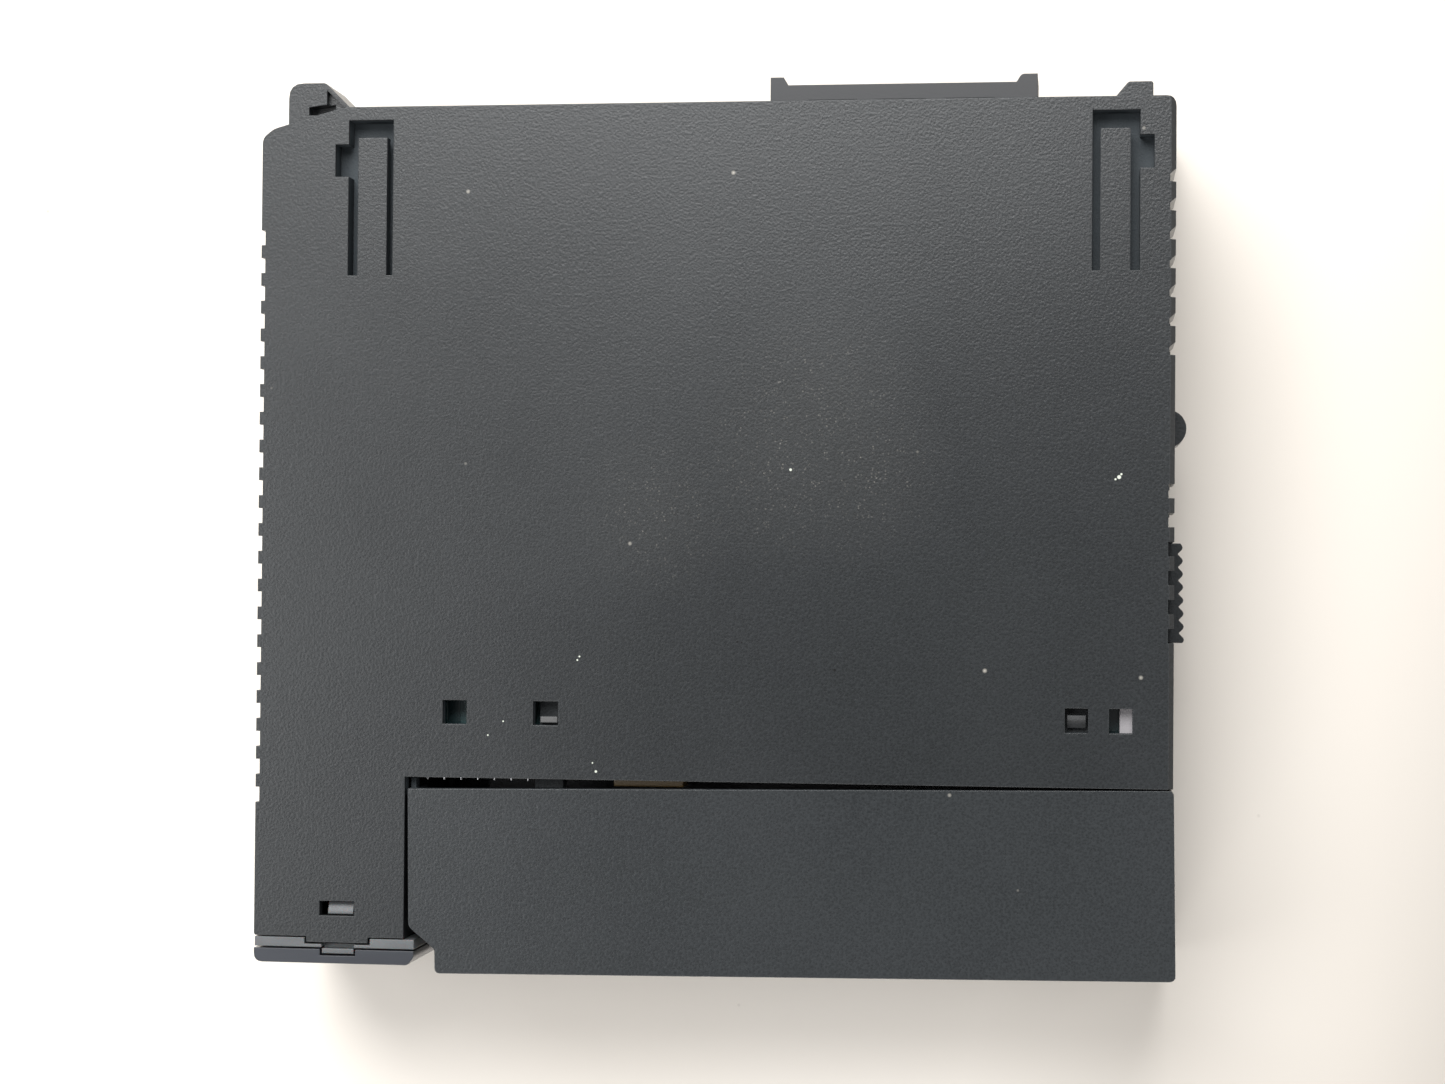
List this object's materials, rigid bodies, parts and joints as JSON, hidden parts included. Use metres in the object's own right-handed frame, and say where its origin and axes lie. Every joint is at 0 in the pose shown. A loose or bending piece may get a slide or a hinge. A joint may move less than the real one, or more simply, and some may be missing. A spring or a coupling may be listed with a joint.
{
  "type": "plc module",
  "caption": "Black rack-mounted PLC input/output module on its side, with a swing-out terminal board, hinged door, release lever, backplane plug and lit indicator head.",
  "frame": {"origin": "under the middle of the bounding box, on the surface that the left side face rests on", "axes": "+X from the module's top end to its bottom end, +Y from its front to its rear (backplane) side, +Z from its left side face up to its right side face"},
  "size_m": [0.132, 0.1294, 0.034],
  "materials": {
    "case_plastic": "fine moulded grain, charcoal black",
    "lever_plastic": "smooth moulded black",
    "smoked_lens": "smoky bluish black, glossy",
    "light_guide": "translucent grey",
    "pale_plastic": "pale grey moulding",
    "amber_plastic": "orange-brown moulding",
    "connector_plastic": "black, glass filled",
    "circuit_board": "green solder mask",
    "chip_epoxy": "black moulded epoxy",
    "relay_case": "off-white moulded case",
    "capacitor_can": "bright can",
    "steel": "plated steel",
    "label_paper": "off-white printed card"
  },
  "bodies": {
    "case": {"housing_shell": "case_plastic", "front_carrier": "case_plastic", "board_retainer": "pale_plastic", "coding_key": "amber_plastic", "main_circuit_board": "circuit_board", "field_header": "connector_plastic", "led_board": "circuit_board", "light_guide": "light_guide", "lens_cap": "smoked_lens", "backplane_connector": "connector_plastic", "contact_insert": "connector_plastic", "release_lever_pin": "steel", "release_lever_spring": "steel", "jacking_lever_pin": "steel", "relay_01": "relay_case", "relay_02": "relay_case", "relay_03": "relay_case", "relay_04": "relay_case", "controller_chip": "chip_epoxy", "interface_chip": "chip_epoxy", "capacitor_01": "capacitor_can", "capacitor_02": "capacitor_can"},
    "release_lever": {"release_lever": "lever_plastic"},
    "jacking_lever": {"jacking_lever": "lever_plastic"},
    "terminal_board": {"terminal_board": "case_plastic", "terminal_screw_01": "steel", "terminal_screw_02": "steel", "terminal_screw_03": "steel", "terminal_screw_04": "steel", "terminal_screw_05": "steel", "terminal_screw_06": "steel", "terminal_screw_07": "steel", "terminal_screw_08": "steel", "terminal_screw_09": "steel", "terminal_screw_10": "steel", "terminal_screw_11": "steel", "terminal_screw_12": "steel", "terminal_screw_13": "steel", "terminal_screw_14": "steel", "terminal_screw_15": "steel", "terminal_screw_16": "steel", "terminal_screw_17": "steel", "terminal_screw_18": "steel", "terminal_screw_19": "steel", "terminal_screw_20": "steel"},
    "terminal_door": {"terminal_door": "case_plastic", "door_label": "label_paper"}
  },
  "joints": [
    {"name": "terminal_swing", "type": "hinge", "parent": "case", "child": "terminal_board", "pos_m": [0.0629, -0.03829, 0.017], "axis": [0, 0, 1], "range_deg": [-0.8, 20]},
    {"name": "door_hinge", "type": "hinge", "parent": "terminal_board", "child": "terminal_door", "pos_m": [0.01174, -0.06326, 0.0025], "axis": [0.9999, 0.014, 0], "range_deg": [0, 90]},
    {"name": "release_lever_pivot", "type": "hinge", "parent": "case", "child": "release_lever", "pos_m": [0.0616, 0.01351, 0.017], "axis": [0, 0, -1], "range_deg": [0, 3], "stiffness_Nm_per_rad": 0.6, "springref_deg": -1.72},
    {"name": "jacking_lever_pivot", "type": "hinge", "parent": "case", "child": "jacking_lever", "pos_m": [-0.042, -0.04359, 0.017], "axis": [0, 0, -1], "range_deg": [0, 12]}
  ]
}
